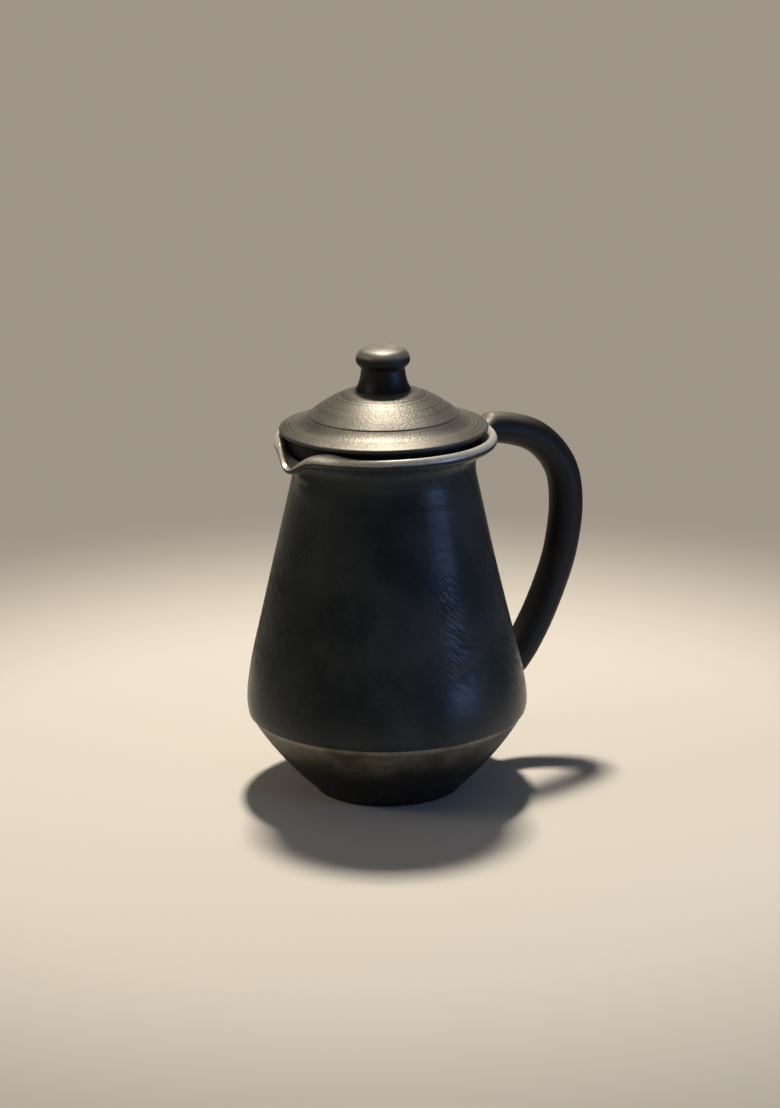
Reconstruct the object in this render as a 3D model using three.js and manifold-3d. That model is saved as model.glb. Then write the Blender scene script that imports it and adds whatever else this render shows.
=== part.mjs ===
// A lidded clay water jug, black-fired and burnished. The body is thrown in a lower cone and a
// tall tapering wall, with a flared rim whose spout is pulled out of it. The ear handle is one
// rolled coil, luted to the rim and to the wall. The loose lid has a dome, a knob on top and a
// locating ring below.
// Millimetres, +Z up. The origin is the centre of the foot's flat underside. +X points to the
// handle and -X to the spout, so the XZ plane is the jug's mirror plane.

import * as THREE from 'three';
import { mergeVertices } from 'three/addons/utils/BufferGeometryUtils.js';
import Module from 'manifold-3d';

const wasm = await Module();
wasm.setup();

// Driving dimensions of the body
const footRadius = 41;
const turnRadius = 80.4; // the crisp turn of the belly, where the cone meets the wall
const turnHeight = 46.7;
const wallMiddleRadius = 75.3; // where the belly's swell runs out into the straight taper
const wallMiddleHeight = 90;
const neckRadius = 52.7;
const neckHeight = 188;
const lipRadius = 63.9;
const lipEdgeHeight = 206.6; // where the rounded lip is widest
const lipHeight = 210.5;
const lipLean = 1; // how far the flared lip sits off the axis, towards the handle
const wallLean = 1.1; // how far the wall's middle sits off the axis, towards the spout
const leaningRadii = [56, 61.5]; // the lip's lean grows from none to all between these radii
const flareHeights = [neckHeight, 200]; // the lean and the spout's pull grow over these heights
const wallThickness = 6.2;
const floorThickness = 8;

// Driving dimensions of the spout, pulled out of the rim on the -X side
const spoutDip = 8.6; // how far the lip comes down at the spout's middle
const spoutReach = 2.2; // how far the lip goes out there
const spoutWidth = 11.5; // degrees round the rim at which the dip has faded to about a third
const throatFill = 3; // how far the hollow under the spout is pushed out
const channelStart = 56; // the radius at which the spout's channel leaves the throat
const channelLength = 8;
const channelHeight = 206; // of the throat beside the spout
const channelDip = 5;
const channelWidth = 16; // degrees
const channelReach = 26; // degrees each side over which the lip is laid open
const edgeDip = 12; // how far the channel's outer edge is below the lip's top
const shoulderBearing = 25; // degrees from the spout's middle to the pinched shoulders
const shoulderWidth = 11;
const shoulderRise = 1.8;
const shoulderPinch = 2;
const pulledRadii = [52, 64.5]; // the spout's dip and reach grow from none to all between these
const pinchedHeights = [204.5, lipHeight]; // the shoulders grow over these heights
const fillHeights = [176, 190]; // the throat's fill grows over these heights
const fillEndHeights = [197, 205]; // and fades again over these
const laidRadii = [53, 55]; // the channel's laying down grows over these radii
const laidHeights = [200, 203]; // and these heights

// Driving dimensions of the handle
const coilRadius = 10.1; // at the middle of the loop
const coilTipRadius = 9.4; // at the upper root
const handleRoute = [ // the coil's centreline, in the XZ plane
  [54, 205.6],
  [66, 203.8],
  [80.6, 202.6],
  [104.8, 193.7],
  [122.6, 173.7],
  [126.7, 150.5],
  [123.2, 124.8],
  [114.3, 100.5],
  [102.6, 78.8],
  [89.7, 61.4],
  [71, 45],
];
const topPadSize = [7.6, 14, 11]; // half depth, half width and half height
const topPadPlace = [66, 203.9];
const bottomPadSize = [7.5, 13.5, 20];
const bottomPadPlace = [82.5, 63];
const bottomPadLean = -0.2;

// Driving dimensions of the lid
const brimRadius = 59.6;
const brimHeight = 214.3; // the widest point of the brim's rounded edge
const brimUnderside = 212.9;
const grooveRadius = 43.2; // the incised line between dome and brim
const grooveHeight = 221.9;
const domeTopHeight = 236.6;
const knobFootRadius = 15.9;
const knobNeckRadius = 12.6;
const knobHeadRadius = 15.4;
const knobTopHeight = 261.5;
const ringFootHeight = 192.4; // the lower edge of the locating ring

// Pieces that meet keep this much room between their faces
const gap = 0.3;
const handleMargin = 0.45; // more at the handle, whose faces are cut from coarser ones
const jointMargin = 0.15; // how much closer the cut that parts coil and pads goes to the body
const sleeveHeight = 230; // above any clay of the handle

// How finely round things are cut
const turnedSides = 56;
const collarSides = 72;
const knobSides = 40;
const coilSides = 16;
const coilSteps = 28;
const padSides = 20;
const padRows = 12;

// Turns an outline (radius, height) about the Z axis
function turned(outline, sides, divisions = 4) {
  const geometry = new THREE.LatheGeometry(outline.getPoints(divisions), sides);
  return geometry.rotateX(Math.PI / 2);
}

// The outside of the upper wall, from the belly's turn to the neck
function addWallOutside(outline, bottom, top, grow = 0) {
  outline.lineTo(turnRadius + grow, bottom);
  outline.bezierCurveTo(82.9 + grow, 53, 81 + grow, 66, wallMiddleRadius + grow, wallMiddleHeight);
  outline.quadraticCurveTo(66 + grow, 128.8, 55.2 + grow, 176.5);
  outline.quadraticCurveTo(53.5 + grow, 183, neckRadius + grow, top);
}

// The underside of the flare, from the neck out to the lip's widest point
function addFlare(outline, grow = 0) {
  outline.bezierCurveTo(52.3 + grow, 194.5, 52.5 + grow, 199.8 - grow, 57.8 + grow, 201.3 - grow);
  const lipSide = lipRadius + grow;
  outline.bezierCurveTo(61.9 + grow, 202.8 - grow, lipSide, 204 - grow, lipSide, lipEdgeHeight);
}

// The lip's rounded outer face, up to its top
function addLip(outline, grow = 0) {
  outline.bezierCurveTo(lipRadius + grow, 208.6, 62.9 + grow, lipHeight + grow, 61, lipHeight + grow);
}

// The lower cone: a flat foot with a softened edge, a full curved side and a level floor
function makeLowerBowl() {
  const top = turnHeight - gap / 2;
  const outline = new THREE.Path();
  outline.moveTo(0, 0);
  outline.lineTo(footRadius, 0);
  outline.quadraticCurveTo(footRadius + 1.9, 0, footRadius + 2.7, 1.6);
  outline.quadraticCurveTo(66, 21.6, turnRadius, top);
  outline.lineTo(turnRadius - wallThickness, top);
  outline.quadraticCurveTo(59.5, 23.5, 44, 11.8);
  outline.quadraticCurveTo(39.5, floorThickness, 33, floorThickness);
  outline.lineTo(0, floorThickness);
  return turned(outline, turnedSides);
}

// The tall tapering wall, which swells just above the belly's turn
function makeUpperWall() {
  const bottom = turnHeight + gap / 2;
  const top = neckHeight - gap / 2;
  const outline = new THREE.Path();
  outline.moveTo(turnRadius - wallThickness, bottom);
  addWallOutside(outline, bottom, top);
  outline.lineTo(neckRadius - wallThickness, top);
  outline.quadraticCurveTo(60.4, 128, wallMiddleRadius - wallThickness, wallMiddleHeight);
  outline.bezierCurveTo(74.8, 66, 76.6, 55, turnRadius - wallThickness, bottom);
  return turned(outline, turnedSides);
}

// The rim before its spout is pulled: a short neck, a flare and a rounded lip
function rimOutline() {
  const bottom = neckHeight + gap / 2;
  const outline = new THREE.Path();
  outline.moveTo(neckRadius, bottom);
  addFlare(outline);
  addLip(outline);
  outline.quadraticCurveTo(60, lipHeight, 59.2, 209.2);
  outline.bezierCurveTo(57.4, 205.2, 53.6, 202.2, 50.4, 199.3);
  outline.bezierCurveTo(47.6, 196.7, neckRadius - wallThickness, 193.5, neckRadius - wallThickness, bottom);
  outline.lineTo(neckRadius, bottom);
  return outline;
}

// How much of a bell-shaped hump is left at a distance from its middle
function hump(distance, width, power = 2) {
  return Math.exp(-(Math.abs(distance / width) ** power));
}

// How far a point of the thrown body leans towards the handle: the lip by its full lean, and
// the wall's middle the other way
function leanAt(radius, z) {
  const { clamp, smoothstep } = THREE.MathUtils;
  const upTheWall = clamp((z - turnHeight) / (neckHeight - turnHeight), 0, 1);
  const lip = lipLean * smoothstep(radius, ...leaningRadii) * smoothstep(z, ...flareHeights);
  return lip - wallLean * Math.sin(Math.PI * upTheWall);
}

// Moves each point of a turned body outwards by the lean times the cosine of its bearing
function leaned(geometry) {
  const position = geometry.attributes.position;
  for (let index = 0; index < position.count; index++) {
    const x = position.getX(index);
    const y = position.getY(index);
    const radius = Math.hypot(x, y);
    if (radius < 1) continue;
    const scale = 1 + (leanAt(radius, position.getZ(index)) * x) / radius ** 2;
    position.setX(index, x * scale);
    position.setY(index, y * scale);
  }
  return geometry;
}

// Pulls the spout: near the -X side the flare sinks and goes outwards, most at the lip and not
// at all at the neck, between two shoulders that the fingers pinch and raise. The top is laid
// down to a channel, a straight slope from the throat out to the spout's edge.
function pullSpout(geometry) {
  const { radToDeg, smoothstep } = THREE.MathUtils;
  const position = geometry.attributes.position;
  for (let index = 0; index < position.count; index++) {
    const x = position.getX(index);
    const y = position.getY(index);
    const z = position.getZ(index);
    const radius = Math.hypot(x, y);
    const bearing = radToDeg(Math.atan2(y, -x));
    const pull = hump(bearing, spoutWidth);
    const shoulder = hump(Math.abs(bearing) - shoulderBearing, shoulderWidth);
    const inSpout = smoothstep(radius, ...pulledRadii) * smoothstep(z, ...flareHeights);
    const inLip = smoothstep(z, ...pinchedHeights);
    const inHollow = smoothstep(z, ...fillHeights) * (1 - smoothstep(z, ...fillEndHeights));
    const edge = lipHeight - edgeDip * pull + shoulderRise * shoulder;
    const throat = channelHeight - channelDip * hump(bearing, channelWidth);
    const channel = throat + ((edge - throat) * (radius - channelStart)) / channelLength;
    const onTop = smoothstep(radius, ...laidRadii) * smoothstep(z, ...laidHeights);
    const laid = hump(bearing, channelReach, 4) * onTop;
    const outwards = spoutReach * pull * inSpout + throatFill * pull * inHollow;
    const newRadius = radius + outwards - shoulderPinch * shoulder * inLip;
    const dipped = z - spoutDip * pull * inSpout + shoulderRise * shoulder * inLip;
    const newHeight = dipped + laid * Math.min(0, channel - dipped);
    position.setXYZ(index, (x * newRadius) / radius, (y * newRadius) / radius, newHeight);
  }
  return geometry;
}

// A closed geometry as a solid that can be cut
function asSolid(geometry) {
  geometry.deleteAttribute('normal');
  geometry.deleteAttribute('uv');
  const merged = mergeVertices(geometry, 1e-4);
  const corners = merged.index.array;
  const triVerts = [];
  for (let first = 0; first < corners.length; first += 3) {
    const [a, b, c] = corners.slice(first, first + 3);
    if (a !== b && b !== c && c !== a) triVerts.push(a, b, c);
  }
  return new wasm.Manifold(new wasm.Mesh({
    numProp: 3,
    vertProperties: merged.attributes.position.array,
    triVerts: new Uint32Array(triVerts),
  }));
}

// A cut solid back as a geometry
function asGeometry(solid) {
  const { vertProperties, triVerts } = solid.getMesh();
  const geometry = new THREE.BufferGeometry();
  geometry.setAttribute('position', new THREE.BufferAttribute(vertProperties, 3));
  geometry.setIndex(new THREE.BufferAttribute(triVerts, 1));
  geometry.computeVertexNormals();
  return geometry;
}

// The space that the body fills, grown by a margin. With a sleeve it goes on straight up from
// the lip, so that the handle's end is cut off there too.
function bodySpace(grow, sleeve) {
  const outline = new THREE.Path();
  outline.moveTo(0, floorThickness);
  outline.lineTo(turnRadius + grow, floorThickness);
  addWallOutside(outline, turnHeight, neckHeight, grow);
  addFlare(outline, grow);
  if (sleeve) {
    outline.lineTo(lipRadius + grow, sleeveHeight);
    outline.lineTo(0, sleeveHeight);
  } else {
    addLip(outline, grow);
    outline.lineTo(0, lipHeight + grow);
  }
  return asSolid(leaned(turned(outline, collarSides)));
}

// The handle's coil, rolled straight and then bent: each cross-section moves to its place on
// the centreline and stands square to it. It is thinnest at the upper root.
function bentCoil(grow = 0) {
  const points = handleRoute.map(([x, z]) => new THREE.Vector3(x, 0, z));
  const centreline = new THREE.CatmullRomCurve3(points, false, 'centripetal');
  const outline = [new THREE.Vector2(0, 0)];
  for (let step = 0; step <= coilSteps; step++) {
    const along = step / coilSteps;
    const swell = THREE.MathUtils.smoothstep(along, 0.08, 0.42);
    const radius = THREE.MathUtils.lerp(coilTipRadius, coilRadius, swell);
    outline.push(new THREE.Vector2(radius + grow, along));
  }
  outline.push(new THREE.Vector2(0, 1));
  const geometry = new THREE.LatheGeometry(outline, coilSides);
  const position = geometry.attributes.position;
  for (let index = 0; index < position.count; index++) {
    const along = position.getY(index);
    const centre = centreline.getPointAt(along);
    const tangent = centreline.getTangentAt(along);
    const across = position.getX(index);
    const x = centre.x - tangent.z * across;
    const z = centre.z + tangent.x * across;
    position.setXYZ(index, x, position.getZ(index), z);
  }
  return asSolid(geometry);
}

// An ellipsoid of clay: its half sizes, its lean in the XZ plane and its centre
function clayPad(halfSize, lean, place) {
  const geometry = new THREE.SphereGeometry(1, padSides, padRows);
  geometry.rotateX(Math.PI / 2);
  geometry.scale(...halfSize);
  geometry.rotateY(lean);
  geometry.translate(place[0], 0, place[1]);
  return asSolid(geometry);
}

// The handle and the two pads of clay that lute it to the rim and to the wall
function makeHandle() {
  const body = bodySpace(handleMargin, false);
  const coil = bentCoil().subtract(bodySpace(handleMargin, true));
  const coilRoom = bentCoil(gap).subtract(bodySpace(jointMargin, true));
  const topPad = clayPad(topPadSize, 0, topPadPlace);
  const bottomPad = clayPad(bottomPadSize, bottomPadLean, bottomPadPlace);
  return {
    coil: asGeometry(coil),
    topLuting: asGeometry(topPad.subtract(body).subtract(coilRoom)),
    bottomLuting: asGeometry(bottomPad.subtract(body).subtract(coilRoom)),
  };
}

// The lid's dome and brim: an even shell, a rounded brim edge, a hollow cove inside the brim,
// an incised line at the dome's foot and a level seat for the knob
function makeLidDome() {
  const outline = new THREE.Path();
  outline.moveTo(0, domeTopHeight - 5.4);
  outline.quadraticCurveTo(22, domeTopHeight - 5.4, 37.5, 219.6);
  outline.lineTo(44.5, brimUnderside);
  outline.lineTo(brimRadius - 1.4, brimUnderside);
  outline.quadraticCurveTo(brimRadius, brimUnderside, brimRadius, brimHeight);
  outline.quadraticCurveTo(brimRadius, brimHeight + 1.1, brimRadius - 1.5, brimHeight + 1.5);
  outline.quadraticCurveTo(54.5, 216.7, 51.5, 217.3);
  outline.quadraticCurveTo(47.2, 218.1, grooveRadius + 0.5, grooveHeight);
  outline.lineTo(grooveRadius, grooveHeight - 0.2);
  outline.lineTo(grooveRadius - 0.4, grooveHeight + 0.7);
  outline.quadraticCurveTo(29.3, 233.6, knobFootRadius, domeTopHeight);
  outline.lineTo(0, domeTopHeight);
  return turned(outline, turnedSides, 3);
}

// The ring under the lid. It drops into the neck, and its cone rests on the flare of the rim.
function makeLocatingRing() {
  const top = brimUnderside - gap;
  const outline = new THREE.Path();
  outline.moveTo(49.4, top);
  outline.lineTo(49.4, 208);
  outline.quadraticCurveTo(48.6, 205.4, 45, 203);
  outline.quadraticCurveTo(41, 200, 41, 196.5);
  outline.lineTo(41, ringFootHeight + 0.8);
  outline.lineTo(41.8, ringFootHeight);
  outline.lineTo(44.4, ringFootHeight);
  outline.lineTo(45.2, ringFootHeight + 0.8);
  outline.quadraticCurveTo(45.6, 197, 50.1, 199.75);
  outline.lineTo(54.2, 203.25);
  outline.quadraticCurveTo(55.8, 205.6, 55.4, 208.5);
  outline.lineTo(55.2, top);
  outline.lineTo(49.4, top);
  return turned(outline, turnedSides, 2);
}

// The knob: a spreading foot, a narrow neck with a sharp line under the head, and a round head
function makeKnob() {
  const bottom = domeTopHeight + gap;
  const outline = new THREE.Path();
  outline.moveTo(0, bottom);
  outline.lineTo(knobFootRadius, bottom);
  outline.quadraticCurveTo(13.2, 240.5, knobNeckRadius, 247.3);
  outline.lineTo(knobNeckRadius - 0.2, 248.3);
  outline.quadraticCurveTo(12.9, 249.7, 14.3, 250.9);
  outline.bezierCurveTo(knobHeadRadius + 0.9, 252.7, knobHeadRadius + 0.2, 257.2, 12.4, 259.3);
  outline.quadraticCurveTo(8.4, knobTopHeight, 0, knobTopHeight);
  return turned(outline, knobSides);
}

// Burnished black clay: the body stays dark, and the lid's upward faces are rubbed to a
// pewter-like sheen
const blackClay = { color: 0x2a2a2c, roughness: 0.42, metalness: 0.1 };
const coneClay = { color: 0x3d3833, roughness: 0.55, metalness: 0.05 };
const lidClay = { color: 0x8b857b, roughness: 0.45, metalness: 0.25 };
const knobClay = { color: 0x6c6863, roughness: 0.4, metalness: 0.2 };
const innerClay = { color: 0x35322f, roughness: 0.75, metalness: 0 };

const group = new THREE.Group();

function addPiece(name, geometry, finish) {
  const mesh = new THREE.Mesh(geometry, new THREE.MeshStandardMaterial(finish));
  mesh.name = name;
  group.add(mesh);
}

const handle = makeHandle();
addPiece('lower_bowl', makeLowerBowl(), coneClay);
addPiece('upper_wall', pullSpout(leaned(makeUpperWall())), blackClay);
addPiece('rim_collar', pullSpout(leaned(turned(rimOutline(), collarSides))), blackClay);
addPiece('handle_coil', handle.coil, blackClay);
addPiece('handle_top_luting', handle.topLuting, blackClay);
addPiece('handle_bottom_luting', handle.bottomLuting, blackClay);
addPiece('lid_dome', makeLidDome(), lidClay);
addPiece('lid_locating_ring', makeLocatingRing(), innerClay);
addPiece('lid_knob', makeKnob(), knobClay);

export default group;
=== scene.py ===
import math

import bpy
import numpy as np
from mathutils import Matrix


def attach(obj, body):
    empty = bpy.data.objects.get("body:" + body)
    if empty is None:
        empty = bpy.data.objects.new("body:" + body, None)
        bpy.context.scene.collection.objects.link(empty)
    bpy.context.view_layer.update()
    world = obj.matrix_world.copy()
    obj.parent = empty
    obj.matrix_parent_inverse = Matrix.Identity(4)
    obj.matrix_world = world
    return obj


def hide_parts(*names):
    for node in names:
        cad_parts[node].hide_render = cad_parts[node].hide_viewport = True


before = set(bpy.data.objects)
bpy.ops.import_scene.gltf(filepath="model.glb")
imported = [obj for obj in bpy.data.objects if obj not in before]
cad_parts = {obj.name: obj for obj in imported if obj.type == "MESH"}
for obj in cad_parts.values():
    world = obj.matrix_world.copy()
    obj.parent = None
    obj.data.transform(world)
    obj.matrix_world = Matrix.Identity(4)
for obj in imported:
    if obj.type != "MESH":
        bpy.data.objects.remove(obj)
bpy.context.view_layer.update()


# Lower bowl. The flat foot and the full curved cone under the belly, thrown on a wheel and cut
# clean below the belly's turn. It is the least burnished part of the pot. Its colour holds painted
# light: the foot is black with painted shade, and a brown-grey band under the turn is painted
# bounce light from the floor, with a painted highlight along the arris.
MM = 0.001  # sections are written in millimetres, and meshes are in metres
foot_radius = 41
turn_radius = 80.4
turn_height = 46.7
wall_thickness = 6.2
floor_thickness = 8


def bezier(controls, steps):
    """Points of a Bezier curve: neighbouring controls are blended by the share gone along the
    curve, and the results again, until one point is left for each share."""
    share = np.linspace(0, 1, steps + 1)[:, None, None]
    level = np.broadcast_to(controls, (steps + 1, *np.shape(controls)))
    while level.shape[1] > 1:
        level = level[:, :-1] * (1 - share) + level[:, 1:] * share
    return level[:, 0]


def section(start, *stretches, chord=0.8):
    """A pot's section as points (radius, height). Each stretch is its end point, with one or
    two handles before it where it bends as a Bezier curve, and is cut into chords."""
    points = np.array([start], float)
    for stretch in stretches:
        controls = np.vstack([points[-1:], stretch])
        reach = np.linalg.norm(np.diff(controls, axis=0), axis=1).sum()
        points = np.vstack([points, bezier(controls, max(2, round(reach / chord)))[1:]])
    return points


def smooth(low, high, value):
    """0 below low, 1 above high, and a smooth cubic rise between them."""
    share = np.clip((value - low) / (high - low), 0, 1)
    return share * share * (3 - 2 * share)


def throwing_marks(turn, radius, height):
    """Relief of a hand-thrown wall in mm: slow swells round and up the pot and fainter finger
    rings, all sums of sines, fading out at the foot."""
    swell = 0.10 * np.sin(2 * turn + 0.045 * height) + 0.07 * np.sin(3 * turn - 0.03 * height + 1.9)
    knocks = 0.05 * np.sin(5 * turn + 0.06 * height + 3) + 0.04 * np.sin(9 * turn - 0.11 * height)
    rings = 0.010 * np.sin(0.83 * height + 0.5 * np.sin(turn))
    rings += 0.008 * np.sin(1.31 * height + 0.7 * np.sin(2 * turn) + 1)
    return (swell + knocks + rings - 0.28) * smooth(0, 4, height)


def skin(name, rings, first_pole=None, last_pole=None, worked=None):
    """A closed clay skin over a grid of points. Quads join each ring to the next and a fan
    joins each pole to its end ring. Without poles the last ring joins the first. Worked is
    a place along the maker's strokes for each point, kept on the mesh in metres."""
    count, sides = rings.shape[:2]
    here = np.arange(count * sides).reshape(count, sides)
    points = rings.reshape(-1, 3)
    fans = []
    if first_pole is None:
        here = np.vstack([here, here[:1]])
    beside = np.roll(here, -1, axis=1)
    if first_pole is not None:
        points = np.vstack([points, first_pole, last_pole])
        poles = np.full((2, sides), [[count * sides], [count * sides + 1]])
        fans += np.stack([poles[0], beside[0], here[0]], axis=-1).tolist()
        fans += np.stack([here[-1], beside[-1], poles[1]], axis=-1).tolist()
    quads = np.stack([here[:-1], beside[:-1], beside[1:], here[1:]], axis=-1)
    mesh = bpy.data.meshes.new(name)
    mesh.from_pydata(points * MM, [], quads.reshape(-1, 4).tolist() + fans)
    mesh.shade_smooth()
    mesh.set_sharp_from_angle(angle=math.radians(38))
    if worked is not None:
        worked = worked.reshape(-1, 3)
        worked = np.vstack([worked, worked[0], worked[-1]]) * MM
        marks = mesh.attributes.new("worked", "FLOAT_VECTOR", "POINT")
        marks.data.foreach_set("vector", worked.ravel())
    piece = bpy.data.objects.new(name, mesh)
    bpy.context.scene.collection.objects.link(piece)
    return piece


def thrown(name, profile, sides=256, relief=None, pull=None):
    """A piece from the wheel: each section point goes round the axis to (radius times cosine,
    radius times sine, height). Relief is added square to the section, and at a sharp corner
    square to the steeper side, so that pieces that meet there stay together. Then pull moves
    the points."""
    step = np.diff(profile, axis=0)
    step /= np.linalg.norm(step, axis=1, keepdims=True)
    on_axis = profile[0, 0] == 0
    if on_axis:
        ring, before, after = profile[1:-1], step[:-1], step[1:]
    else:
        ring, before, after = profile[:-1], np.roll(step, 1, axis=0), step
    steeper = np.where(np.abs(before[:, 1:]) > np.abs(after[:, 1:]), before, after)
    sharp = np.sum(before * after, axis=1, keepdims=True) < 0.8
    along = np.where(sharp, steeper, before + after)
    along /= np.linalg.norm(along, axis=1, keepdims=True)
    turn = np.linspace(0, 2 * np.pi, sides, endpoint=False)
    radius, height = np.repeat(ring[:, :, None], sides, axis=2).transpose(1, 0, 2)
    if relief:
        push = relief(turn, radius, height)
        radius = radius + push * along[:, 1:]
        height = height - push * along[:, :1]
    if pull:
        radius, height = pull(turn, radius, height)
    rings = np.stack([radius * np.cos(turn), radius * np.sin(turn), height], axis=-1)
    if not on_axis:
        return skin(name, rings)
    return skin(name, rings, [0, 0, profile[0, 1]], [0, 0, profile[-1, 1]])


def add_node(tree, kind, inputs, **options):
    """One shader node. Each input is another node's output to link, or a plain value."""
    node = tree.nodes.new(kind)
    for option, value in options.items():
        setattr(node, option, value)
    for socket, value in inputs.items():
        if isinstance(value, bpy.types.NodeSocket):
            tree.links.new(value, node.inputs[socket])
        else:
            node.inputs[socket].default_value = value
    return node


def maths(tree, operation, *values):
    """The result of adding or multiplying shader values, in the operation's order."""
    inputs = dict(enumerate(values))
    return add_node(tree, "ShaderNodeMath", inputs, operation=operation).outputs[0]


def part_along(tree, axis, vector):
    """How far a place or a direction goes along the X, Y or Z axis."""
    return add_node(tree, "ShaderNodeSeparateXYZ", {"Vector": vector}).outputs[axis]


def noise(tree, place, scale, detail=4, roughness=0.5):
    """Cloudy noise from 0 to 1, with scale features to the metre."""
    inputs = {"Vector": place, "Scale": scale, "Detail": detail, "Roughness": roughness}
    return add_node(tree, "ShaderNodeTexNoise", inputs).outputs["Fac"]


def between(tree, value, low, high, to_low, to_high):
    """The value, taken from its range low to high smoothly to another range."""
    inputs = {"Value": value, "From Min": low, "From Max": high, "To Min": to_low, "To Max": to_high}
    options = {"interpolation_type": "SMOOTHSTEP"}
    return add_node(tree, "ShaderNodeMapRange", inputs, **options).outputs["Result"]


def tint(tree, share, first, second):
    """A colour between first, at share 0, and second, at share 1."""
    mix = add_node(tree, "ShaderNodeMix", {"Factor": share}, data_type="RGBA")
    for socket, colour in ((6, first), (7, second)):
        if isinstance(colour, bpy.types.NodeSocket):
            tree.links.new(colour, mix.inputs[socket])
        else:
            mix.inputs[socket].default_value = (*colour, 1)
    return mix.outputs[2]


def stretched(tree, place, size):
    """The place with its grain drawn out to a size in metres along each axis."""
    inputs = {"Vector": place, "Scale": size}
    return add_node(tree, "ShaderNodeMapping", inputs, vector_type="TEXTURE").outputs["Vector"]


def relief_normal(tree, height, depth, under=None):
    """The surface normal over a fine relief, depth metres deep, on top of the one under it."""
    inputs = {"Height": height, "Distance": depth}
    if under:
        inputs["Normal"] = under
    return add_node(tree, "ShaderNodeBump", inputs).outputs["Normal"]


def new_clay(name, ior, gloss):
    """A clay to be finished: its material, node tree, shader and place on the pot."""
    material = bpy.data.materials.new(name)
    material.use_nodes = True
    tree = material.node_tree
    shader = tree.nodes["Principled BSDF"]
    shader.inputs["IOR"].default_value = ior
    shader.inputs["Specular IOR Level"].default_value = gloss
    place = add_node(tree, "ShaderNodeTexCoord", {}).outputs["Object"]
    return material, tree, shader, place


def wound_strokes(tree, place, lean, size):
    """Noise drawn out along lines that wind round the pot by lean radians for each metre up:
    the place is turned back by that angle and then stretched upwards to the size."""
    angle = maths(tree, "MULTIPLY", part_along(tree, "Z", place), lean)
    inputs = {"Vector": place, "Angle": angle}
    unwound = add_node(tree, "ShaderNodeVectorRotate", inputs, rotation_type="Z_AXIS")
    return noise(tree, stretched(tree, unwound.outputs["Vector"], size), 1, 3)


def work_surface(tree, shader, place, strokes, roughness, depths):
    """Gloss that varies with the tool's strokes, over a relief of faint turning rings, those
    strokes and a fine grain, each to its depth in metres."""
    rings = noise(tree, stretched(tree, place, (0.05, 0.05, 0.0022)), 1, 4, 0.6)
    grain = noise(tree, place, 850, 3, 0.6)
    normal = relief_normal(tree, rings, depths[0])
    normal = relief_normal(tree, strokes, depths[1], normal)
    normal = relief_normal(tree, grain, depths[2], normal)
    tree.links.new(normal, shader.inputs["Normal"])
    tree.links.new(between(tree, strokes, 0.3, 0.7, *roughness), shader.inputs["Roughness"])


def bowl_clay():
    """Least burnished clay with painted light: black at the foot for painted shade, lighter and
    olive-grey in a ragged band under the turn for painted bounce light, palest in patches along
    the arris for a painted highlight."""
    material, tree, shader, place = new_clay("bowl_clay", ior=1.45, gloss=0.3)
    height = part_along(tree, "Z", place)
    clouds = noise(tree, place, 26, 5, 0.62)
    patches = noise(tree, place, 60, 4, 0.6)
    ragged = maths(tree, "MULTIPLY_ADD", clouds, 0.030, height)
    # Painted bounce light: lighter near the turn, and black lower down as painted shade at the foot.
    band = between(tree, ragged, 0.036, 0.062, 0, 1)
    dark = tint(tree, clouds, (0.006, 0.006, 0.0055), (0.014, 0.0125, 0.0105))
    mottled = between(tree, patches, 0.35, 0.7, 0, 1)
    olive = tint(tree, mottled, (0.062, 0.055, 0.041), (0.145, 0.126, 0.090))
    # Painted highlight in patches along the arris.
    arris_highlight = between(tree, height, 0.0425, 0.0462, 0, 1)
    olive = tint(tree, maths(tree, "MULTIPLY", arris_highlight, patches), olive, (0.34, 0.30, 0.23))
    tree.links.new(tint(tree, band, dark, olive), shader.inputs["Base Color"])
    strokes = wound_strokes(tree, place, 9, (0.0016, 0.0016, 0.03))
    work_surface(tree, shader, place, strokes, (0.44, 0.60), (0.00003, 0.00003, 0.00005))
    return material


bowl_section = section(
    (0, 0), [(foot_radius, 0)], [(42.9, 0), (43.7, 1.6)], [(66, 21.6), (turn_radius - 0.3, turn_height)],
    [(turn_radius - wall_thickness, turn_height)],
    [(59.5, 23.5), (44, 11.8)], [(39.5, floor_thickness), (33, floor_thickness)], [(0, floor_thickness)],
)
bowl = thrown("lower_bowl_clay", bowl_section, relief=throwing_marks)
bowl.data.materials.append(bowl_clay())
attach(bowl, "jug")
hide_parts("lower_bowl")


# Upper wall. The tall tapering wall, drawn up on the wheel from the belly's turn to the neck and
# burnished with a pebble before firing. Its lower edge is a crisp, slightly worn arris, a finger
# has left a shallow crescent above it, and its top is pushed out a little under the spout.
middle_radius = 75.3
middle_height = 90
neck_radius = 52.7
neck_height = 188
wall_lean = 1.1  # how far the wall's middle sits off the axis, towards the spout
# The pull that draws the spout moves the wall's top and the rim together, so the rim's sizes
# are here too.
lip_radius = 63.9
lip_height = 210.5
lip_edge_height = 206.6
spout_dip = 8.6  # how far the lip comes down at the spout's middle
spout_reach = 2.2
spout_width = 11.5  # degrees round the rim
throat_fill = 3  # how far the hollow under the spout is pushed out
channel_start = 56  # radius at which the spout's channel leaves the throat
channel_length = 8
channel_height = 206
channel_dip = 5
channel_width = 16
channel_reach = 26  # degrees each side over which the lip is laid open
edge_dip = 12  # how far the channel's outer edge is below the lip's top
shoulder_bearing = 25
shoulder_width = 11
shoulder_rise = 1.8
shoulder_pinch = 2
lip_lean = 1.0  # how far the flared lip sits off the axis, towards the handle
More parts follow.
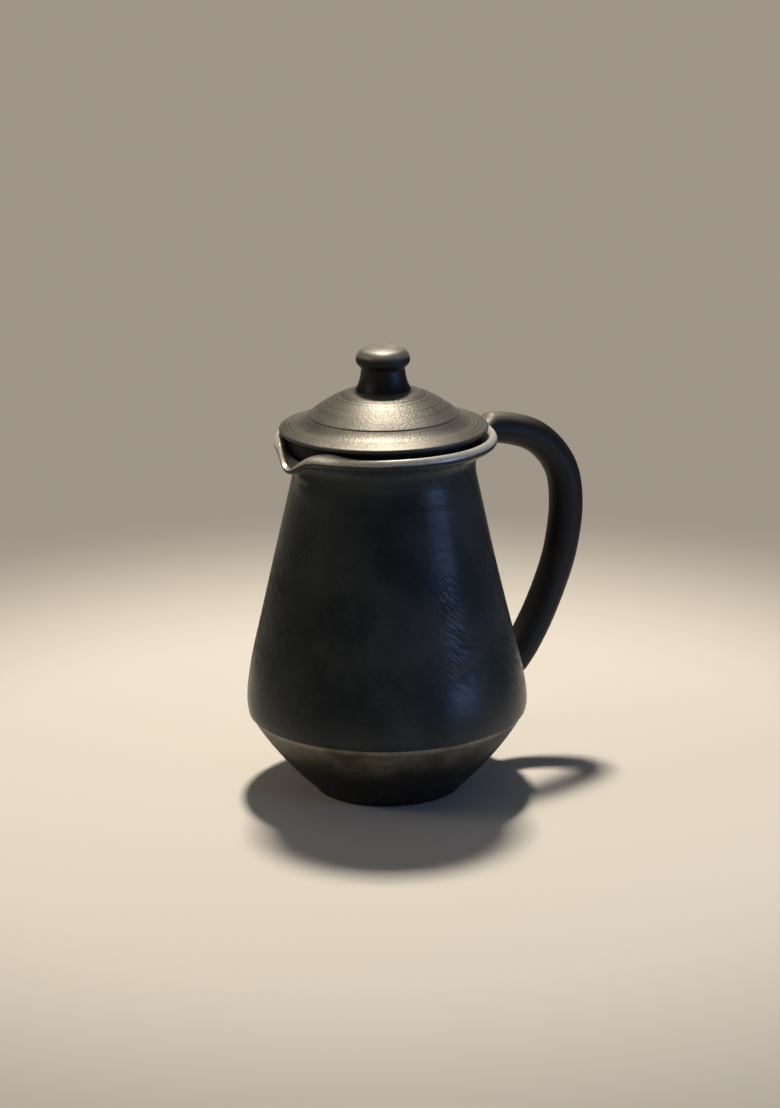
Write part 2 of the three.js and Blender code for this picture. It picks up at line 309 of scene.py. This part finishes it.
# Radii and heights between which each part of the pull sets in, or ends.
pulled_radii = (52, 64.5)
flare_heights = (neck_height, 200)
pinched_heights = (204.5, lip_height)
fill_heights = (176, 190)
fill_end_heights = (197, 205)
laid_radii = (53, 55)
laid_heights = (200, 203)
leaning_radii = (56, 61.5)
crest_relief = 0.25  # the arris, worn round
crest_width = 0.8
dent_turn = math.radians(-83)
dent_height = 89
dent_depth = 0.55
dent_width = 3.2
dent_length = 17


def draw_spout(turn, radius, height):
    """Near the -X side the flare sinks and goes outwards by a Gaussian of the bearing, most at
    the lip, between two pinched and raised shoulders. Its top is laid down to a channel: a
    straight slope from the throat to the spout's edge, whose heights are Gaussians too. The
    wall's middle and the lip also lean a little off the axis, by the bearing's cosine."""
    bearing = np.degrees((turn + 2 * np.pi) % (2 * np.pi)) - 180
    draw = np.exp(-((bearing / spout_width) ** 2))
    shoulder = np.exp(-(((np.abs(bearing) - shoulder_bearing) / shoulder_width) ** 2))
    in_spout = smooth(*pulled_radii, radius) * smooth(*flare_heights, height)
    in_lip = smooth(*pinched_heights, height)
    hollow = smooth(*fill_heights, height) * (1 - smooth(*fill_end_heights, height))
    edge = lip_height - edge_dip * draw + shoulder_rise * shoulder
    throat = channel_height - channel_dip * np.exp(-((bearing / channel_width) ** 2))
    channel = throat + (edge - throat) * (radius - channel_start) / channel_length
    laid = np.exp(-((bearing / channel_reach) ** 4))
    laid = laid * smooth(*laid_radii, radius) * smooth(*laid_heights, height)
    up_the_wall = np.clip((height - turn_height) / (neck_height - turn_height), 0, 1)
    lean = lip_lean * smooth(*leaning_radii, radius) * smooth(*flare_heights, height)
    lean = (lean - wall_lean * np.sin(np.pi * up_the_wall)) * np.cos(turn)
    wave = 0.16 * np.sin(3 * turn + 0.6) + 0.1 * np.sin(7 * turn + 2)
    new_radius = radius + spout_reach * draw * in_spout + throat_fill * draw * hollow + lean
    new_height = height - spout_dip * draw * in_spout + (shoulder_rise * shoulder + wave) * in_lip
    new_height = new_height + laid * np.minimum(0, channel - new_height)
    return new_radius - shoulder_pinch * shoulder * in_lip, new_height


def wall_relief(turn, radius, height):
    """Throwing marks, a worn crest along the arris, and a crescent dent: a Gaussian trough
    along a rising arc, as long as a finger."""
    crest = crest_relief * np.exp(-(((height - turn_height - 0.6) / crest_width) ** 2))
    crest *= 0.55 + 0.45 * np.sin(7 * turn + 1) * np.sin(3 * turn)
    across = ((turn - dent_turn + np.pi) % (2 * np.pi) - np.pi) * radius
    arc = height - dent_height - 0.32 * across - 0.006 * across**2
    dent = -dent_depth * np.exp(-((arc / dent_width) ** 2)) * np.exp(-((across / dent_length) ** 2))
    outside = smooth(turn_radius - 12, turn_radius - 9, radius + 0.18 * (height - turn_height))
    return throwing_marks(turn, radius, height) + (crest + dent) * outside


def burnished_black(tree, place):
    """The wall's colour: smoke-black with blue-black and faint brown-grey clouds."""
    clouds = noise(tree, place, 19, 5, 0.6)
    patches = noise(tree, place, 8, 3)
    black = tint(tree, between(tree, clouds, 0.36, 0.68, 0, 1), (0.013, 0.018, 0.021), (0.034, 0.039, 0.042))
    return tint(tree, between(tree, patches, 0.5, 0.75, 0, 0.6), black, (0.052, 0.048, 0.042))


def burnish(tree, shader, place):
    """The pebble's slanting strokes over faint turning rings, as far as the lip. The middle of
    the wall took the least rubbing and is duller."""
    strokes = wound_strokes(tree, place, 15, (0.0012, 0.0012, 0.03))
    height = part_along(tree, "Z", place)
    lower_half = between(tree, height, 0.070, 0.094, 0.36, 0.76)
    dullest = between(tree, height, 0.128, 0.150, lower_half, 0.36)
    work_surface(tree, shader, place, strokes, (0.24, dullest), (0.000008, 0.00005, 0.00003))


def wall_clay():
    """Burnished black clay."""
    material, tree, shader, place = new_clay("wall_clay", ior=1.45, gloss=0.17)
    tree.links.new(burnished_black(tree, place), shader.inputs["Base Color"])
    burnish(tree, shader, place)
    return material


wall_outside = section(
    (turn_radius, turn_height), [(82.9, 53), (81, 66), (middle_radius, middle_height)],
    [(66, 128.8), (55.2, 176.5)], [(53.5, 183), (neck_radius, neck_height)],
)
wall_inside = section(
    (neck_radius, neck_height), [(neck_radius - wall_thickness, neck_height)],
    [(60.4, 128), (middle_radius - wall_thickness, middle_height)],
    [(74.8, 66), (76.6, 55), (turn_radius - wall_thickness, turn_height)],
    [(turn_radius, turn_height)], chord=1.6,
)
wall = thrown(
    "upper_wall_clay", np.vstack([wall_outside, wall_inside[1:]]), sides=288,
    relief=wall_relief, pull=draw_spout,
)
wall.data.materials.append(wall_clay())
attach(wall, "jug")
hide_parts("upper_wall")


# Rim collar. A thicker ring of clay that flares from the neck to a rounded lip. While it was
# damp a finger drew the spout out and down between two others that pinched the lip. The lip's
# top and the spout's face are painted pale grey and metallic: a painted sheen from the lamp
# overhead.


def off_axis(tree, place):
    """Distance of a place from the pot's axis."""
    flat = add_node(tree, "ShaderNodeVectorMath", {0: place, 1: (1, 1, 0)}, operation="MULTIPLY")
    inputs = {0: flat.outputs["Vector"]}
    return add_node(tree, "ShaderNodeVectorMath", inputs, operation="LENGTH").outputs["Value"]


def painted_sheen_share(tree, clouds, low, high):
    """How much painted sheen a face gets, from 0 to 1, with ragged edges: most where it looks up
    towards the lamp overhead.
    """
    facing = add_node(tree, "ShaderNodeTexCoord", {}).outputs["Normal"]
    ragged = maths(tree, "MULTIPLY_ADD", clouds, 0.3, part_along(tree, "Z", facing))
    return between(tree, ragged, low, high, 0, 1)


def paint_sheen_colour(tree, shader, amount, black, pewter, sheen):
    """Black clay that turns pewter-like and metallic as the amount rises: a painted sheen."""
    tree.links.new(tint(tree, amount, black, pewter), shader.inputs["Base Color"])
    tree.links.new(maths(tree, "MULTIPLY", amount, sheen), shader.inputs["Metallic"])


def collar_clay():
    """Wall clay with a painted pewter-like sheen all over the lip's rounded top and in the spout,
    standing in for the lamp's highlight.
    """
    material, tree, shader, place = new_clay("collar_clay", ior=1.45, gloss=0.17)
    clouds = noise(tree, place, 24, 5, 0.6)
    # Painted sheen: pale where the lip and spout face up towards the lamp.
    amount = painted_sheen_share(tree, clouds, 0.1, 0.45)
    on_lip = between(tree, off_axis(tree, place), 0.0540, 0.0555, 0, 1)
    amount = maths(tree, "MULTIPLY", amount, on_lip)
    pewter = tint(tree, between(tree, clouds, 0.35, 0.7, 0, 1), (0.74, 0.69, 0.60), (0.58, 0.54, 0.465))
    paint_sheen_colour(tree, shader, amount, burnished_black(tree, place), pewter, 0.25)
    burnish(tree, shader, place)
    return material


collar_outside = section(
    (neck_radius, neck_height), [(52.3, 194.5), (52.5, 199.8), (57.8, 201.3)],
    [(61.9, 202.8), (lip_radius, 204), (lip_radius, lip_edge_height)],
    [(lip_radius, 208.6), (62.9, lip_height), (61, lip_height)],
    [(60, lip_height), (59.2, 209.2)], chord=0.5,
)
collar_inside = section(
    (59.2, 209.2), [(57.4, 205.2), (53.6, 202.2), (50.4, 199.3)],
    [(47.6, 196.7), (46.5, 193.5), (neck_radius - wall_thickness, neck_height)],
    [(neck_radius, neck_height)], chord=0.8,
)
collar = thrown(
    "rim_collar_clay", np.vstack([collar_outside, collar_inside[1:]]), sides=360,
    relief=throwing_marks, pull=draw_spout,
)
collar.data.materials.append(collar_clay())
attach(collar, "jug")
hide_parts("rim_collar")


# Handle coil. One coil of clay rolled by hand, thinnest where it leaves the rim, and bent into
# an ear. Wet fingers smoothed it along its length. Its top by the rim has a painted sheen, lit
# from overhead.
handle_stations = [
    (66, 203.8), (80.6, 202.6), (104.8, 193.7), (122.6, 173.7), (126.7, 150.5), (123.2, 124.8),
    (114.3, 100.5), (102.6, 78.8), (89.7, 61.4), (71, 45),
]
coil_radius = 10.1
coil_tip_radius = 9.35
coil_sides = 96
upper_joint = 0.035  # shares of the route at which the smeared clay of the roots takes over
lower_joint = 0.89


def hermite(start, leave, end, arrive, share):
    """The cubic between two points that leaves one and arrives at the other as told."""
    rest = 1 - share
    near = rest**2 * (1 + 2 * share) * start + rest**2 * share * leave
    return near + share**2 * (3 - 2 * share) * end - share**2 * rest * arrive


def bent_route(stations, count):
    """Centripetal Catmull-Rom curve through the stations: between two of them it is a Hermite
    curve whose ends lean by the square roots of the gaps, cut again into equal lengths."""
    points = np.array(stations, float)
    points = np.vstack([2 * points[0] - points[1], points, 2 * points[-1] - points[-2]])
    gap = np.sqrt(np.linalg.norm(np.diff(points, axis=0), axis=1))[:, None]
    step = np.diff(points, axis=0) / gap
    lean = step[:-1] + step[1:] - (points[2:] - points[:-2]) / (gap[:-1] + gap[1:])
    share = np.linspace(0, 1, 40, endpoint=False)[:, None, None]
    span = gap[1:-1]
    route = hermite(points[1:-2], lean[:-1] * span, points[2:-1], lean[1:] * span, share)
    route = np.vstack([route.transpose(1, 0, 2).reshape(-1, 2), points[-2]])
    reach = np.concatenate([[0], np.cumsum(np.linalg.norm(np.diff(route, axis=0), axis=1))])
    even = np.linspace(0, reach[-1], count)
    route = np.stack([np.interp(even, reach, route[:, 0]), np.interp(even, reach, route[:, 1])], axis=1)
    return route, reach[-1]


def coil_rings(shares):
    """Rings of points round the handle's centreline at shares of its length, each square to
    it, with a slight swell and flattening left by the hand. Also the centres, the headings,
    and the straightened place of each point, for strokes along the coil."""
    route, length = bent_route(handle_stations, 600)
    position = shares * (len(route) - 1)
    steps = np.arange(len(route))
    heading = np.gradient(route, axis=0)
    columns = [np.interp(position, steps, line) for line in (*route.T, *heading.T)]
    level = np.zeros(len(shares))
    centre = np.stack([columns[0], level, columns[1]], axis=1)
    heading = np.stack([columns[2], level, columns[3]], axis=1)
    heading /= np.linalg.norm(heading, axis=1, keepdims=True)
    turn = np.linspace(0, 2 * np.pi, coil_sides, endpoint=False)
    thick = coil_tip_radius + (coil_radius - coil_tip_radius) * smooth(0.08, 0.42, shares)
    thick = thick[:, None] + 0.10 * np.sin(2 * turn + 14 * shares[:, None])
    thick = thick + 0.06 * np.sin(3 * turn + 31 * shares[:, None]) - 0.12
    outer = np.stack([-heading[:, 2], level, heading[:, 0]], axis=1)[:, None]
    spoke = np.cos(turn)[:, None] * outer - np.sin(turn)[:, None] * np.array([0, 1, 0])
    straight = [shares[:, None] * length + 0 * turn, thick * np.cos(turn), thick * np.sin(turn)]
    return centre[:, None] + thick[..., None] * spoke, centre, heading, np.stack(straight, axis=-1)


def handle_clay():
    """Finger-smoothed black clay, a little browner than the wall, with a pewter-like painted sheen
    on its top near the rim, where the lamp overhead lights it."""
    material, tree, shader, place = new_clay("handle_clay", ior=1.45, gloss=0.2)
    clouds = noise(tree, place, 24, 5, 0.6)
    # Painted sheen on the up-facing top, strongest near the rim.
    near_rim = between(tree, part_along(tree, "X", place), 0.072, 0.112, 1, 0.1)
    amount = maths(tree, "MULTIPLY", painted_sheen_share(tree, clouds, 0.6, 1.15), near_rim)
    black = tint(tree, clouds, (0.010, 0.010, 0.010), (0.024, 0.022, 0.019))
    paint_sheen_colour(tree, shader, amount, black, (0.24, 0.22, 0.18), 0.4)
    worked = add_node(tree, "ShaderNodeAttribute", {}, attribute_name="worked").outputs["Vector"]
    strokes = noise(tree, stretched(tree, worked, (0.035, 0.0013, 0.0013)), 1, 3)
    work_surface(tree, shader, place, strokes, (0.46, 0.60), (0.00002, 0.00006, 0.00004))
    return material


coil_points, coil_centres, coil_headings, coil_worked = coil_rings(
    np.linspace(upper_joint, lower_joint, 300)
)
coil = skin("handle_coil_clay", coil_points, coil_centres[0], coil_centres[-1], coil_worked)
handle_finish = handle_clay()
coil.data.materials.append(handle_finish)
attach(coil, "jug")
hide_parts("handle_coil")


# Upper handle root. Soft clay smeared round the coil's end and over the lip, so that the handle
# runs into the rim without a step.
upper_reach = 21.9  # mm up the collar's section from the neck to the middle of the root
upper_half_width = 12.6
upper_half_up = 6.4
upper_half_down = 15.5
upper_fullness = (1.0, 1.0)
smear_depth = 0.5  # how far the thin edge of the smeared clay sinks into the face below
closed_depth = 2.2  # how deep its hidden end lies


def reach_along(profile):
    """Length along a section from its start to each of its points."""
    steps = np.linalg.norm(np.diff(profile, axis=0), axis=1)
    return np.concatenate([[0], np.cumsum(steps)])


def clay_face(profile, reach, turn, depth):
    """Points sunk by a depth into a thrown face, reach mm along its section and turned round
    the axis, with the face's directions along the section and round the axis."""
    length = reach_along(profile)
    slope = np.gradient(profile, length, axis=0)
    radius, height = (np.interp(reach, length, line) for line in profile.T)
    out, up = (np.interp(reach, length, line) for line in slope.T)
    size = np.hypot(out, up)
    out, up = out / size, up / size
    radius, height = draw_spout(turn, radius - depth * up, height + depth * out)
    point = np.stack([radius * np.cos(turn), radius * np.sin(turn), height], axis=-1)
    along = np.stack([out * np.cos(turn), out * np.sin(turn), up], axis=-1)
    around = np.stack([-np.sin(turn), np.cos(turn), 0 * turn], axis=-1)
    return point, along, around


def smeared_root(ring, heading, profile, middle, half_width, half_top, half_bottom, fullness):
    """Rows of points from the coil's end ring to an oval footprint on a thrown face. Each line
    is a Hermite cubic that leaves along the coil and arrives flat on the face, and one more
    row goes down into the clay. The ring's first point is matched to the footprint's top.
    Fullness is how far the lines run on along the coil there and opposite, as a share."""
    turn = np.linspace(0, 2 * np.pi, len(ring), endpoint=False)
    rise = np.where(np.cos(turn) > 0, half_top, half_bottom) * np.cos(turn)
    spread = -half_width * np.sin(turn)
    aside = spread / np.interp(middle, reach_along(profile), profile[:, 0])
    foot, along, around = clay_face(profile, middle + rise, aside, smear_depth)
    arrive = rise[:, None] * along + spread[:, None] * around
    arrive /= np.linalg.norm(arrive, axis=1, keepdims=True)
    fuller = fullness[1] + (fullness[0] - fullness[1]) * (1 + np.cos(turn[:, None])) / 2
    gap = np.linalg.norm(foot - ring, axis=1, keepdims=True) * fuller
    share = np.linspace(0, 1, 28)[:, None, None]
    rows = hermite(ring, heading * gap, foot, arrive * gap, share)
    sunk = clay_face(profile, middle + 0.9 * rise, 0.9 * aside, closed_depth)[0]
    return np.concatenate([rows, sunk[None]])


def straightened(rows, worked):
    """Straightened places for a root's rows: the coil's own, carried on along each line."""
    steps = np.linalg.norm(np.diff(rows, axis=0), axis=2)
    ahead = np.concatenate([0 * steps[:1], np.cumsum(steps, axis=0)])
    return worked + ahead[..., None] * np.array([1, 0, 0])


upper_rows = smeared_root(
    coil_points[0], -coil_headings[0], collar_outside, upper_reach,
    upper_half_width, upper_half_up, upper_half_down, upper_fullness,
)
upper_root = skin(
    "handle_top_luting_clay", upper_rows[::-1], upper_rows[-1].mean(axis=0), coil_centres[0],
    straightened(upper_rows, coil_worked[0])[::-1],
)
upper_root.data.materials.append(handle_finish)
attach(upper_root, "jug")
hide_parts("handle_top_luting")


# Lower handle root. The coil's lower end pressed on to the belly, with clay smeared round it.
lower_reach = 13.5
lower_half_width = 13.2
lower_half_up = 16
lower_half_down = 12.4
lower_fullness = (1.6, 0.8)

lower_rows = smeared_root(
    coil_points[-1], coil_headings[-1], wall_outside, lower_reach,
    lower_half_width, -lower_half_down, -lower_half_up, lower_fullness,
)
lower_root = skin(
    "handle_bottom_luting_clay", lower_rows, coil_centres[-1], lower_rows[-1].mean(axis=0),
    straightened(lower_rows, coil_worked[-1]),
)
lower_root.data.materials.append(handle_finish)
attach(lower_root, "jug")
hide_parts("handle_bottom_luting")


# Lid dome. A thrown lid with an incised line round the dome's foot, a hollow cove, a rounded
# brim and a few fine lines near the knob. Its upward faces carry a pewter-like painted sheen
# from the lamp overhead.
brim_radius = 59.6
brim_height = 214.3
brim_underside = 212.9
groove_radius = 43.2
groove_height = 221.9
dome_top = 236.6
knob_foot_radius = 15.9
fine_lines = (  # radius, depth and width of each
    (21.5, 0.13, 0.35), (25.2, 0.24, 0.35), (27.6, 0.12, 0.35), (50.5, 0.10, 0.4), (54.4, 0.08, 0.4),
)


def lid_marks(turn, radius, height):
    """Relief of the lid's top in mm: fine lines cut by a point, each a Gaussian furrow at its
    radius, and slow swells from the hand."""
    marks = 0.05 * np.sin(3 * turn + 0.12 * radius) + 0.008 * np.sin(0.9 * radius + np.sin(turn)) - 0.06
    for line_radius, depth, width in fine_lines:
        wander = radius - line_radius - 0.18 * np.sin(turn + line_radius)
        marks = marks - depth * np.exp(-((wander / width) ** 2))
    return marks * smooth(brim_height - 0.5, brim_height + 1.2, height)


def turned_hairs(tree, place, clouds, width):
    """Fine noise in rings round the axis, each ring a width in metres: noise of the radius."""
    spun = add_node(tree, "ShaderNodeCombineXYZ", {"X": off_axis(tree, place), "Y": clouds})
    return noise(tree, stretched(tree, spun.outputs["Vector"], (width, 2.5, 1)), 1, 3)


def turned_sheen(tree, shader, amount):
    """Highlights drawn out across the turning lines, as on any finely turned face."""
    round_axis = add_node(tree, "ShaderNodeTangent", {}, direction_type="RADIAL", axis="Z")
    tree.links.new(round_axis.outputs["Tangent"], shader.inputs["Tangent"])
    shader.inputs["Anisotropic"].default_value = amount
    shader.inputs["Anisotropic Rotation"].default_value = 0.25


def lid_clay():
    """Clay with a painted sheen: grey with a warm cast and metallic where it faces up, towards
    the lamp overhead, with hair-fine turning lines and a sparkling grain."""
    material, tree, shader, place = new_clay("lid_clay", ior=1.5, gloss=0.5)
    clouds = noise(tree, place, 30, 6, 0.65)
    hairs = turned_hairs(tree, place, clouds, 0.0011)
    light = tint(tree, between(tree, hairs, 0.3, 0.7, 0, 1), (0.25, 0.232, 0.199), (0.32, 0.299, 0.259))
    pewter = tint(tree, between(tree, clouds, 0.42, 0.72, 0, 0.75), light, (0.185, 0.167, 0.137))
    black = (0.012, 0.012, 0.012)
    # Painted sheen on the up-facing faces, black clay elsewhere.
    paint_sheen_colour(tree, shader, painted_sheen_share(tree, clouds, 0.3, 0.85), black, pewter, 0.8)
    turned_sheen(tree, shader, 0.5)
    work_surface(tree, shader, place, hairs, (0.42, 0.54), (0.00001, 0.000015, 0.00022))
    return material


dome_under = section(
    (0, dome_top - 5.4), [(22, dome_top - 5.4), (37.5, 219.6)], [(44.5, brim_underside)],
    [(brim_radius - 1.4, brim_underside)], chord=1.2,
)
dome_over = section(
    (brim_radius - 1.4, brim_underside), [(brim_radius, brim_underside), (brim_radius, brim_height)],
    [(brim_radius, brim_height + 1.1), (brim_radius - 1.5, brim_height + 1.5)],
    [(54.5, 216.7), (51.5, 217.3)], [(47.2, 218.1), (groove_radius + 0.5, groove_height)],
    [(groove_radius, groove_height - 0.2)], [(groove_radius - 0.4, groove_height + 0.7)],
    [(29.3, 233.6), (knob_foot_radius, dome_top)], [(0, dome_top)], chord=0.3,
)
dome = thrown("lid_dome_clay", np.vstack([dome_under, dome_over[1:]]), sides=288, relief=lid_marks)
dome.data.materials.append(lid_clay())
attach(dome, "lid")
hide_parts("lid_dome")


# Locating ring. A ring under the lid that drops into the neck. Its cone rests on the flare of
# the rim and carries the lid. It was left as turned, matt and black.
ring_foot = 192.4


def plain_clay():
    """Unburnished smoke-black clay, dry to the touch."""
    material, tree, shader, place = new_clay("ring_clay", ior=1.45, gloss=0.4)
    clouds = noise(tree, place, 24, 5, 0.6)
    colour = tint(tree, clouds, (0.007, 0.0065, 0.006), (0.020, 0.018, 0.016))
    tree.links.new(colour, shader.inputs["Base Color"])
    hairs = turned_hairs(tree, place, clouds, 0.0011)
    work_surface(tree, shader, place, hairs, (0.62, 0.78), (0.00008, 0.00002, 0.00006))
    return material


ring_section = section(
    (49.4, brim_underside), [(49.4, 208)], [(48.6, 205.4), (45, 203)], [(41, 200), (41, 196.5)],
    [(41, ring_foot + 0.8)], [(41, ring_foot), (41.8, ring_foot)], [(44.4, ring_foot)],
    [(45.2, ring_foot), (45.2, ring_foot + 0.8)], [(45.6, 197), (50.1, 199.75)], [(54.2, 203.25)],
    [(55.8, 205.6), (55.4, 208.5)], [(55.2, brim_underside)], [(49.4, brim_underside)],
)
ring = thrown("lid_locating_ring_clay", ring_section, sides=192)
ring.data.materials.append(plain_clay())
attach(ring, "lid")
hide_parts("lid_locating_ring")


# Knob. Turned from its own lump of clay and stuck to the dome: a spreading foot, a narrow neck
# with a sharp line under the head, and a round head whose top has a painted sheen, lit bright
# from overhead.
knob_neck_radius = 12.6
knob_head_radius = 15.4
knob_top = 261.5


def knob_clay():
    """Lid clay with its painted sheen only on top of the head, where the lamp overhead lights it,
    and black below it.
    """
    material, tree, shader, place = new_clay("knob_clay", ior=1.5, gloss=0.35)
    clouds = noise(tree, place, 60, 5, 0.6)
    # Painted sheen on the head's top only.
    on_top = between(tree, part_along(tree, "Z", place), 0.2535, 0.2575, 0, 1)
    amount = maths(tree, "MULTIPLY", painted_sheen_share(tree, clouds, 0.2, 0.7), on_top)
    pewter = tint(tree, between(tree, clouds, 0.4, 0.7, 0, 1), (0.36, 0.337, 0.295), (0.24, 0.218, 0.187))
    paint_sheen_colour(tree, shader, amount, (0.008, 0.008, 0.009), pewter, 0.7)
    hairs = turned_hairs(tree, place, clouds, 0.0009)
    work_surface(tree, shader, place, hairs, (0.42, 0.56), (0.00002, 0.00003, 0.00008))
    return material


knob_section = section(
    (0, dome_top), [(knob_foot_radius, dome_top)], [(13.2, 240.5), (knob_neck_radius, 247.3)],
    [(knob_neck_radius - 0.2, 248.3)], [(12.9, 249.7), (14.3, 250.9)],
    [(knob_head_radius + 0.9, 252.7), (knob_head_radius + 0.2, 257.2), (12.4, 259.3)],
    [(8.4, knob_top), (0, knob_top)], chord=0.3,
)
knob = thrown("lid_knob_clay", knob_section, sides=160)
knob.data.materials.append(knob_clay())
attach(knob, "lid")
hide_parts("lid_knob")


# Studio. A wide pale floor that fades into a plain beige backdrop, and is darker at the right as
# the burnished wall mirrors it. A dim dome of light is brightest overhead. One small warm softbox
# is above and a little behind the jug, a wide low cool one is at the right for the wall to
# mirror, and a faint warm fill is at the left.
view_azimuth = math.radians(-32)
view_elevation = math.radians(16.1)
view_distance = 1.8
view_roll = math.radians(0.75)
look_height = 0.139
look_aside = 0.0026
focal_length = 101.7

right = np.array([math.cos(view_azimuth), math.sin(view_azimuth), 0])
towards = np.array([math.sin(view_azimuth), -math.cos(view_azimuth), 0])
overhead = np.array([0, 0, 1])
back = towards * math.cos(view_elevation) + overhead * math.sin(view_elevation)


def place_facing(thing, place, across, upwards):
    """Stand a camera or lamp at a place: it looks against the cross product of its across and
    upwards directions. The matrix is handed over column by column."""
    axes = np.eye(4)
    axes[:3, 0] = across
    axes[:3, 1] = upwards
    axes[:3, 2] = np.cross(across, upwards)
    axes[:3, 3] = place
    thing.matrix_world = axes.T.tolist()


def soft_light(name, place, aim, size, power, colour):
    """A rectangular softbox at a place, facing its aim, that the camera doesn't see."""
    lamp = bpy.data.lights.new(name, "AREA")
    lamp.shape = "RECTANGLE"
    lamp.size, lamp.size_y = size
    lamp.energy = power
    lamp.color = colour
    box = bpy.data.objects.new(name, lamp)
    bpy.context.scene.collection.objects.link(box)
    reach = (place - aim) / np.linalg.norm(place - aim)
    across = np.cross(overhead, reach)
    across /= np.linalg.norm(across)
    place_facing(box, place, across, np.cross(reach, across))
    box.visible_camera = False


camera = bpy.data.objects.new("camera", bpy.data.cameras.new("camera"))
bpy.context.scene.collection.objects.link(camera)
camera.data.lens = focal_length
up = np.cross(back, right)
level_right = right * math.cos(view_roll) - up * math.sin(view_roll)
level_up = up * math.cos(view_roll) + right * math.sin(view_roll)
target = overhead * look_height + right * look_aside
place_facing(camera, target + back * view_distance, level_right, level_up)
bpy.context.scene.camera = camera

belly = np.array([0, 0, 0.15])
top_place = belly - 0.50 * towards + 1.38 * overhead
soft_light("top_softbox", top_place, belly, size=(0.16, 0.16), power=24, colour=(1, 0.93, 0.82))
right_place = 1.3 * (0.44 * towards + 0.90 * right) + 0.15 * overhead
soft_light("cool_softbox", right_place, belly, size=(0.5, 0.3), power=4.4, colour=(0.26, 0.48, 1))
left_place = 1.5 * (0.25 * towards - 0.80 * right) + 0.85 * overhead
soft_light("left_fill", left_place, belly, size=(0.5, 0.4), power=1.9, colour=(1, 0.93, 0.84))

floor_radius = 9
floor_sides = 96
floor_colour = (0.84, 0.78, 0.69)
backdrop_colour = (0.35, 0.30, 0.245)
dusk_colour = (0.05, 0.043, 0.035)


def backdrop_rays(tree):
    """1 for the rays that show the backdrop: the camera's, and those off gloss or through glass."""
    rays = add_node(tree, "ShaderNodeLightPath", {}).outputs
    seen = maths(tree, "ADD", rays["Is Camera Ray"], rays["Is Glossy Ray"])
    return maths(tree, "ADD", seen, rays["Is Transmission Ray"])


def floor_paint():
    """Pale paint that turns into the backdrop's own light with distance from the jug."""
    paint = bpy.data.materials.new("floor_paint")
    paint.use_nodes = True
    tree = paint.node_tree
    shader = tree.nodes["Principled BSDF"]
    shader.inputs["Base Color"].default_value = (*floor_colour, 1)
    shader.inputs["Roughness"].default_value = 0.8
    place = add_node(tree, "ShaderNodeTexCoord", {}).outputs["Object"]
    far_off = between(tree, off_axis(tree, place), 0.26, 0.62, 0, 1)
    bearing = add_node(tree, "ShaderNodeVectorMath", {0: place}, operation="NORMALIZE")
    inputs = {0: bearing.outputs["Vector"], 1: right}
    aside = add_node(tree, "ShaderNodeVectorMath", inputs, operation="DOT_PRODUCT").outputs["Value"]
    mirrored = add_node(tree, "ShaderNodeLightPath", {}).outputs["Is Glossy Ray"]
    dusk = maths(tree, "MULTIPLY", between(tree, aside, 0.15, 0.60, 0, 1), mirrored)
    colour = tint(tree, dusk, backdrop_colour, dusk_colour)
    backdrop = add_node(tree, "ShaderNodeEmission", {"Color": colour}).outputs[0]
    share = maths(tree, "MULTIPLY", far_off, backdrop_rays(tree))
    faded = add_node(tree, "ShaderNodeMixShader", {0: share, 1: shader.outputs[0], 2: backdrop})
    tree.links.new(faded.outputs[0], tree.nodes["Material Output"].inputs["Surface"])
    return paint


corners = np.linspace(0, 2 * np.pi, floor_sides, endpoint=False)
edge = np.stack([floor_radius * np.cos(corners), floor_radius * np.sin(corners), 0 * corners], axis=1)
floor_mesh = bpy.data.meshes.new("floor")
floor_mesh.from_pydata(edge.tolist(), [], [list(range(floor_sides))])
floor_mesh.materials.append(floor_paint())
floor = bpy.data.objects.new("floor", floor_mesh)
bpy.context.scene.collection.objects.link(floor)

world = bpy.data.worlds.new("studio")
world.use_nodes = True
bpy.context.scene.world = world
sky = world.node_tree
direction = add_node(sky, "ShaderNodeTexCoord", {}).outputs["Generated"]
climb = part_along(sky, "Z", direction)
dome_light = tint(sky, between(sky, climb, 0.05, 0.95, 0, 1), (0.018, 0.018, 0.019), (0.075, 0.073, 0.070))
low_down = between(sky, climb, 0.02, 0.12, 1, 0)
plain = maths(sky, "MULTIPLY", backdrop_rays(sky), low_down)
sky.links.new(tint(sky, plain, dome_light, backdrop_colour), sky.nodes["Background"].inputs["Color"])

bpy.context.scene.view_settings.view_transform = "Standard"
